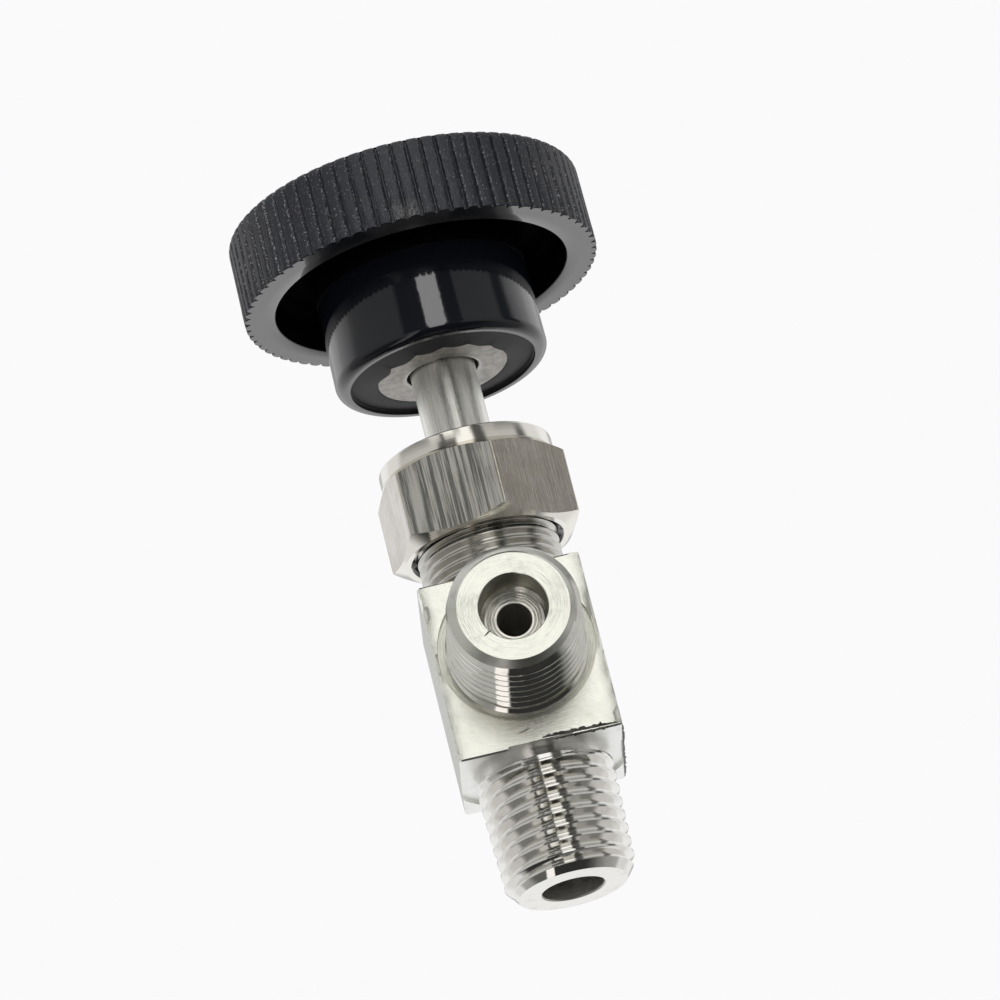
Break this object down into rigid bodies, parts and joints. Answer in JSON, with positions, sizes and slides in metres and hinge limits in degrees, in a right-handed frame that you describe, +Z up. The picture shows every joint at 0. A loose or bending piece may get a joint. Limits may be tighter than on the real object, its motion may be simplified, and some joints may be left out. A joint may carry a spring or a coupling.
{
  "type": "angle needle valve",
  "caption": "Small angle needle valve: square body, two male taper ports at right angles, gland nut, packed screw spindle and ribbed black handwheel.",
  "frame": {"origin": "centre of the inlet port's end face, on the spindle axis", "axes": "+Z up the spindle axis towards the handwheel; the outlet port points to -Y; +X completes the right-handed frame"},
  "size_m": [0.0356, 0.0368, 0.0724],
  "materials": {
    "body_steel": "milled and turned stainless steel, satin",
    "nut_steel": "drawn hexagon bar with a polished collar",
    "gland_steel": "turned stainless steel",
    "ptfe": "waxy white PTFE",
    "spindle_steel": "polished stem with fine lengthwise streaks",
    "needle_steel": "finely turned and burnished",
    "ball_steel": "polished hardened ball",
    "pin_steel": "ground dowel steel",
    "phenolic": "glossy black phenolic moulding with duller ribs",
    "insert_metal": "matte, warm grey, with moulding flash round its edge",
    "fastener_steel": "stainless fastener",
    "spring_steel": "spring steel"
  },
  "bodies": {
    "valve": {"body": "body_steel", "gland_nut": "nut_steel", "gland_follower": "gland_steel", "packing_washer": "gland_steel", "packing_base_ring": "ptfe", "packing_v_ring_lower": "ptfe", "packing_v_ring_middle": "ptfe", "packing_v_ring_upper": "ptfe", "packing_top_ring": "ptfe"},
    "needle_unit": {"needle": "needle_steel", "thrust_ball": "ball_steel"},
    "wheel_unit": {"spindle": "spindle_steel", "swivel_pins": "pin_steel", "handwheel": "phenolic", "wheel_insert": "insert_metal", "wheel_washer": "fastener_steel", "lock_washer": "spring_steel", "wheel_nut": "fastener_steel"}
  },
  "joints": [
    {"name": "needle_lift", "type": "slide", "parent": "valve", "child": "needle_unit", "axis": [0, 0, 1], "range_m": [-0.002, 0.002]},
    {"name": "handwheel_turn", "type": "hinge", "parent": "needle_unit", "child": "wheel_unit", "pos_m": [0, 0, 0.05], "axis": [0, 0, 1], "range_deg": [-720.1, 720.1]}
  ],
  "couplings": [
    {"joint": "handwheel_turn", "follows": "needle_lift", "rad_per_m": 6283.2}
  ]
}
